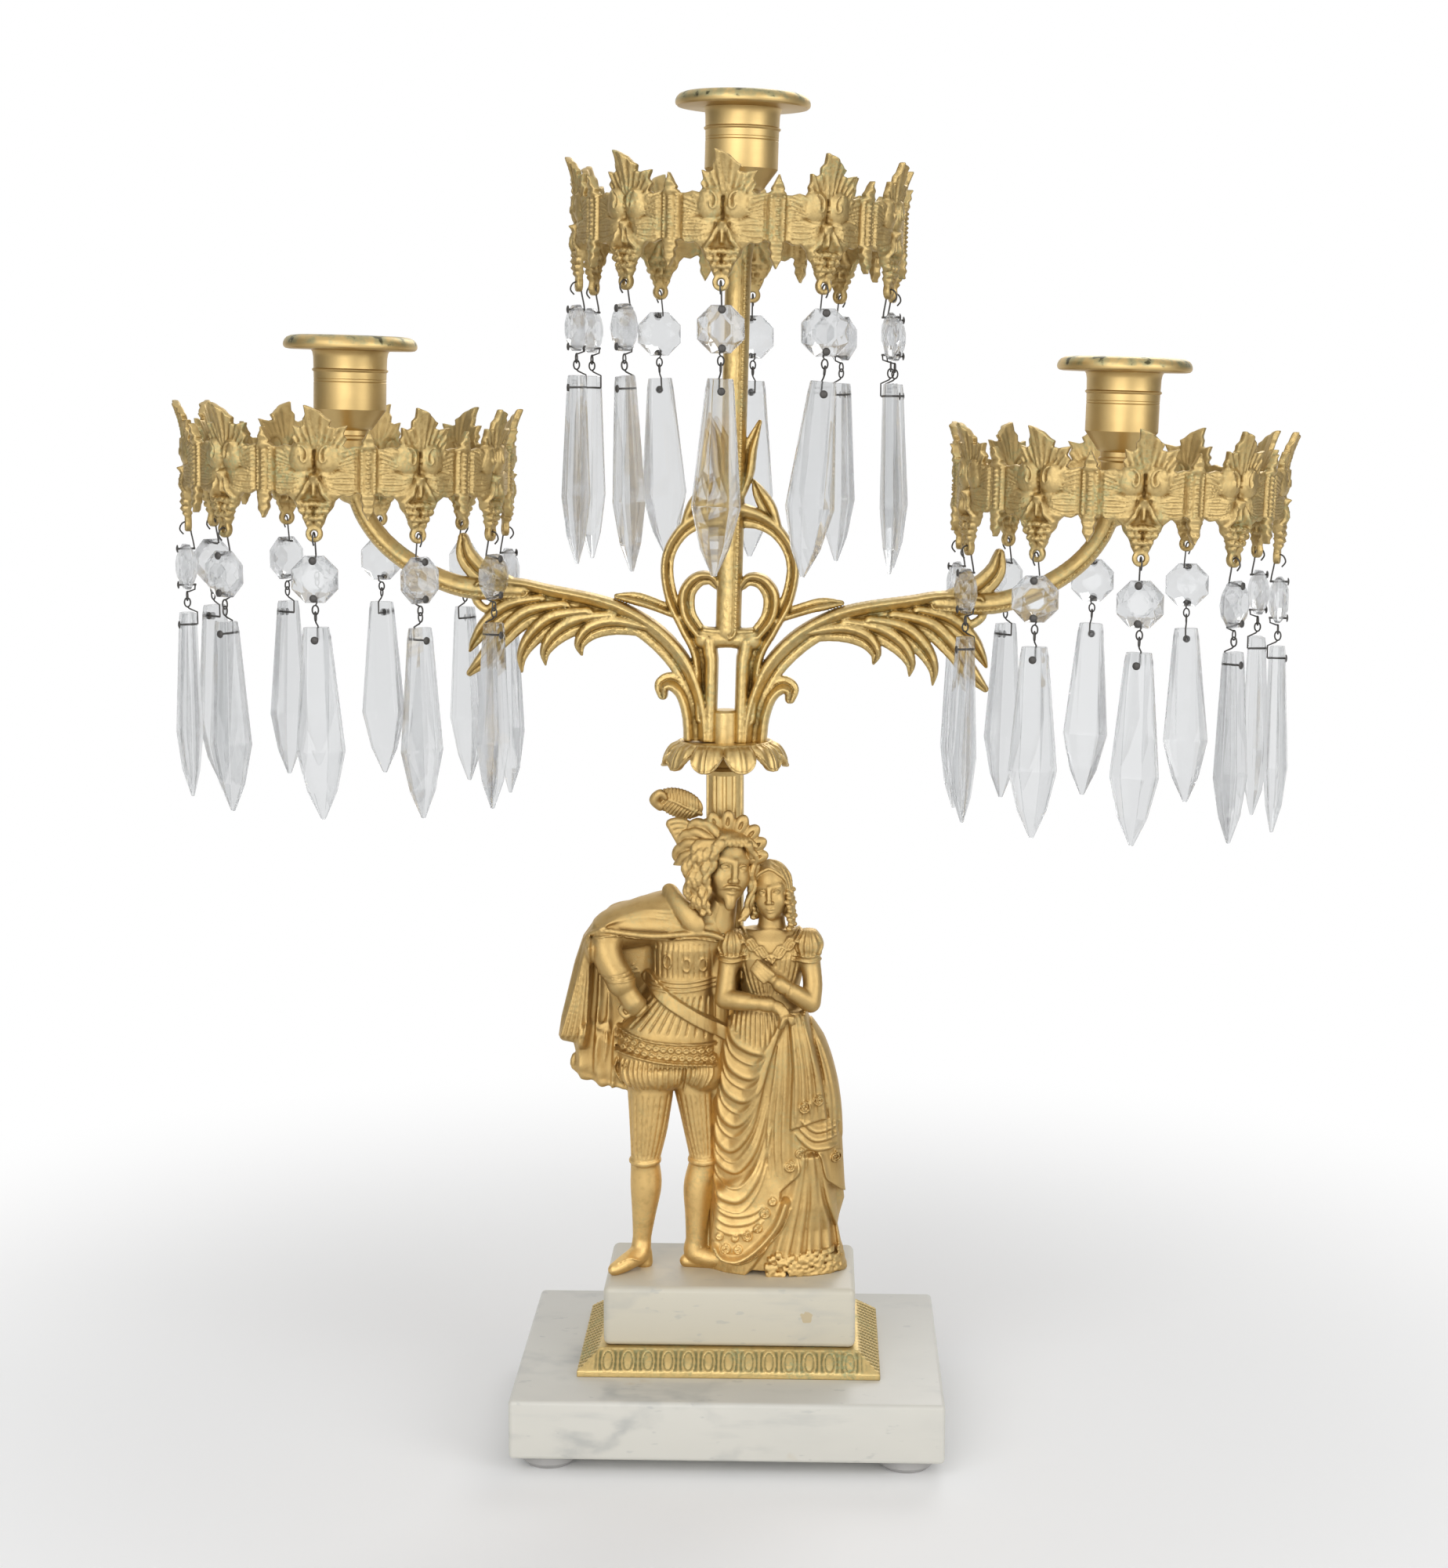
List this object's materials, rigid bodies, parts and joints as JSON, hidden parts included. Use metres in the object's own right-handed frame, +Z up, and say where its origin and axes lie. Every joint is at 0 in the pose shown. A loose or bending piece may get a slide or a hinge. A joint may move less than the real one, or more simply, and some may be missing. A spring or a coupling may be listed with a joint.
{
  "type": "girandole candle holder",
  "caption": "Gilt branched candle holder: a costumed couple on a marble plinth, cups with lift-out nozzles, and leafy collars hung with swinging crystal drops.",
  "frame": {"origin": "on the floor, under the middle of the object's box, which is the middle of the marble base", "axes": "+Z up, +X to the right along the three lights, +Y to the back, so the couple faces -Y"},
  "size_m": [0.3745, 0.1195, 0.4533],
  "materials": {
    "gilt": "matte gilt brass casting",
    "marble": "polished white marble, opaque",
    "crystal": "cut clear crystal on thin wire",
    "steel": "plain steel",
    "felt": "grey felt"
  },
  "bodies": {
    "stand": {"foot_pads": "felt", "base_plate": "marble", "moulding_frame": "gilt", "plinth_block": "marble", "figure_group": "gilt", "figure_screws": "steel", "fluted_post": "gilt", "leaf_cup": "gilt", "tie_rod": "steel", "cap_nut": "gilt", "base_nut": "steel", "base_washer": "steel", "branch": "gilt", "cup_screws": "steel", "left_strap": "gilt", "left_collar": "gilt", "left_cup": "gilt", "center_strap": "gilt", "center_collar": "gilt", "center_cup": "gilt", "right_strap": "gilt", "right_collar": "gilt", "right_cup": "gilt"},
    "left_nozzle": {"left_nozzle": "gilt"},
    "center_nozzle": {"center_nozzle": "gilt"},
    "right_nozzle": {"right_nozzle": "gilt"},
    "left_drop_1": {"left_drop_1": "crystal"},
    "left_drop_2": {"left_drop_2": "crystal"},
    "left_drop_3": {"left_drop_3": "crystal"},
    "left_drop_4": {"left_drop_4": "crystal"},
    "left_drop_5": {"left_drop_5": "crystal"},
    "left_drop_6": {"left_drop_6": "crystal"},
    "left_drop_7": {"left_drop_7": "crystal"},
    "left_drop_8": {"left_drop_8": "crystal"},
    "left_drop_9": {"left_drop_9": "crystal"},
    "left_drop_10": {"left_drop_10": "crystal"},
    "center_drop_1": {"center_drop_1": "crystal"},
    "center_drop_2": {"center_drop_2": "crystal"},
    "center_drop_3": {"center_drop_3": "crystal"},
    "center_drop_4": {"center_drop_4": "crystal"},
    "center_drop_5": {"center_drop_5": "crystal"},
    "center_drop_6": {"center_drop_6": "crystal"},
    "center_drop_7": {"center_drop_7": "crystal"},
    "center_drop_8": {"center_drop_8": "crystal"},
    "center_drop_9": {"center_drop_9": "crystal"},
    "center_drop_10": {"center_drop_10": "crystal"},
    "right_drop_1": {"right_drop_1": "crystal"},
    "right_drop_2": {"right_drop_2": "crystal"},
    "right_drop_3": {"right_drop_3": "crystal"},
    "right_drop_4": {"right_drop_4": "crystal"},
    "right_drop_5": {"right_drop_5": "crystal"},
    "right_drop_6": {"right_drop_6": "crystal"},
    "right_drop_7": {"right_drop_7": "crystal"},
    "right_drop_8": {"right_drop_8": "crystal"},
    "right_drop_9": {"right_drop_9": "crystal"},
    "right_drop_10": {"right_drop_10": "crystal"}
  },
  "joints": [
    {"name": "left_nozzle_lift", "type": "slide", "parent": "stand", "child": "left_nozzle", "axis": [0.0279, 0, 0.9996], "range_m": [0, 0.025]},
    {"name": "center_nozzle_lift", "type": "slide", "parent": "stand", "child": "center_nozzle", "axis": [0.0279, 0, 0.9996], "range_m": [0, 0.025]},
    {"name": "right_nozzle_lift", "type": "slide", "parent": "stand", "child": "right_nozzle", "axis": [0.0279, 0, 0.9996], "range_m": [0, 0.025]},
    {"name": "left_drop_1_swing", "type": "hinge", "parent": "stand", "child": "left_drop_1", "pos_m": [-0.13111, -0.05427, 0.30983], "axis": [-0.9994, 0.0349, 0], "range_deg": [-12, 38]},
    {"name": "left_drop_2_swing", "type": "hinge", "parent": "stand", "child": "left_drop_2", "pos_m": [-0.09886, -0.04502, 0.30893], "axis": [-0.829, -0.5592, 0], "range_deg": [-12, 38]},
    {"name": "left_drop_3_swing", "type": "hinge", "parent": "stand", "child": "left_drop_3", "pos_m": [-0.07821, -0.01857, 0.30835], "axis": [-0.342, -0.9397, 0], "range_deg": [-5, 22]},
    {"name": "left_drop_4_swing", "type": "hinge", "parent": "stand", "child": "left_drop_4", "pos_m": [-0.07704, 0.01497, 0.30832], "axis": [0.2756, -0.9613, 0], "range_deg": [-5, 22]},
    {"name": "left_drop_5_swing", "type": "hinge", "parent": "stand", "child": "left_drop_5", "pos_m": [-0.0958, 0.04279, 0.30884], "axis": [0.788, -0.6157, 0], "range_deg": [-12, 38]},
    {"name": "left_drop_6_swing", "type": "hinge", "parent": "stand", "child": "left_drop_6", "pos_m": [-0.12732, 0.05427, 0.30972], "axis": [0.9994, -0.0349, 0], "range_deg": [-12, 38]},
    {"name": "left_drop_7_swing", "type": "hinge", "parent": "stand", "child": "left_drop_7", "pos_m": [-0.15956, 0.04502, 0.31062], "axis": [0.829, 0.5592, 0], "range_deg": [-12, 38]},
    {"name": "left_drop_8_swing", "type": "hinge", "parent": "stand", "child": "left_drop_8", "pos_m": [-0.18022, 0.01857, 0.3112], "axis": [0.342, 0.9397, 0], "range_deg": [-12, 38]},
    {"name": "left_drop_9_swing", "type": "hinge", "parent": "stand", "child": "left_drop_9", "pos_m": [-0.18139, -0.01497, 0.31123], "axis": [-0.2756, 0.9613, 0], "range_deg": [-12, 38]},
    {"name": "left_drop_10_swing", "type": "hinge", "parent": "stand", "child": "left_drop_10", "pos_m": [-0.16263, -0.04279, 0.31071], "axis": [-0.788, 0.6157, 0], "range_deg": [-12, 38]},
    {"name": "center_drop_1_swing", "type": "hinge", "parent": "stand", "child": "center_drop_1", "pos_m": [-0.00176, -0.05417, 0.38825], "axis": [-0.9976, 0.0698, 0], "range_deg": [-12, 38]},
    {"name": "center_drop_2_swing", "type": "hinge", "parent": "stand", "child": "center_drop_2", "pos_m": [0.03079, -0.04605, 0.38734], "axis": [-0.848, -0.5299, 0], "range_deg": [-12, 38]},
    {"name": "center_drop_3_swing", "type": "hinge", "parent": "stand", "child": "center_drop_3", "pos_m": [0.05235, -0.02034, 0.38673], "axis": [-0.3746, -0.9272, 0], "range_deg": [-12, 7]},
    {"name": "center_drop_4_swing", "type": "hinge", "parent": "stand", "child": "center_drop_4", "pos_m": [0.05469, 0.01314, 0.38667], "axis": [0.2419, -0.9703, 0], "range_deg": [-12, 7]},
    {"name": "center_drop_5_swing", "type": "hinge", "parent": "stand", "child": "center_drop_5", "pos_m": [0.03692, 0.0416, 0.38717], "axis": [0.766, -0.6428, 0], "range_deg": [-12, 38]},
    {"name": "center_drop_6_swing", "type": "hinge", "parent": "stand", "child": "center_drop_6", "pos_m": [0.00581, 0.05417, 0.38804], "axis": [0.9976, -0.0698, 0], "range_deg": [-12, 38]},
    {"name": "center_drop_7_swing", "type": "hinge", "parent": "stand", "child": "center_drop_7", "pos_m": [-0.02674, 0.04605, 0.38894], "axis": [0.848, 0.5299, 0], "range_deg": [-12, 38]},
    {"name": "center_drop_8_swing", "type": "hinge", "parent": "stand", "child": "center_drop_8", "pos_m": [-0.0483, 0.02034, 0.38955], "axis": [0.3746, 0.9272, 0], "range_deg": [-12, 7]},
    {"name": "center_drop_9_swing", "type": "hinge", "parent": "stand", "child": "center_drop_9", "pos_m": [-0.05064, -0.01314, 0.38961], "axis": [-0.2419, 0.9703, 0], "range_deg": [-12, 7]},
    {"name": "center_drop_10_swing", "type": "hinge", "parent": "stand", "child": "center_drop_10", "pos_m": [-0.03286, -0.0416, 0.38912], "axis": [-0.766, 0.6428, 0], "range_deg": [-12, 38]},
    {"name": "right_drop_1_swing", "type": "hinge", "parent": "stand", "child": "right_drop_1", "pos_m": [0.13058, -0.05427, 0.30252], "axis": [-0.9994, -0.0349, 0], "range_deg": [-12, 38]},
    {"name": "right_drop_2_swing", "type": "hinge", "parent": "stand", "child": "right_drop_2", "pos_m": [0.1621, -0.04279, 0.30164], "axis": [-0.788, -0.6157, 0], "range_deg": [-12, 38]},
    {"name": "right_drop_3_swing", "type": "hinge", "parent": "stand", "child": "right_drop_3", "pos_m": [0.18086, -0.01497, 0.30111], "axis": [-0.2756, -0.9613, 0], "range_deg": [-12, 38]},
    {"name": "right_drop_4_swing", "type": "hinge", "parent": "stand", "child": "right_drop_4", "pos_m": [0.17969, 0.01857, 0.30115], "axis": [0.342, -0.9397, 0], "range_deg": [-12, 38]},
    {"name": "right_drop_5_swing", "type": "hinge", "parent": "stand", "child": "right_drop_5", "pos_m": [0.15904, 0.04502, 0.30172], "axis": [0.829, -0.5592, 0], "range_deg": [-12, 38]},
    {"name": "right_drop_6_swing", "type": "hinge", "parent": "stand", "child": "right_drop_6", "pos_m": [0.12679, 0.05427, 0.30262], "axis": [0.9994, 0.0349, 0], "range_deg": [-12, 38]},
    {"name": "right_drop_7_swing", "type": "hinge", "parent": "stand", "child": "right_drop_7", "pos_m": [0.09527, 0.04279, 0.3035], "axis": [0.788, 0.6157, 0], "range_deg": [-12, 38]},
    {"name": "right_drop_8_swing", "type": "hinge", "parent": "stand", "child": "right_drop_8", "pos_m": [0.07651, 0.01497, 0.30403], "axis": [0.2756, 0.9613, 0], "range_deg": [-5, 22]},
    {"name": "right_drop_9_swing", "type": "hinge", "parent": "stand", "child": "right_drop_9", "pos_m": [0.07768, -0.01857, 0.304], "axis": [-0.342, 0.9397, 0], "range_deg": [-5, 22]},
    {"name": "right_drop_10_swing", "type": "hinge", "parent": "stand", "child": "right_drop_10", "pos_m": [0.09834, -0.04502, 0.30342], "axis": [-0.829, 0.5592, 0], "range_deg": [-12, 38]}
  ]
}
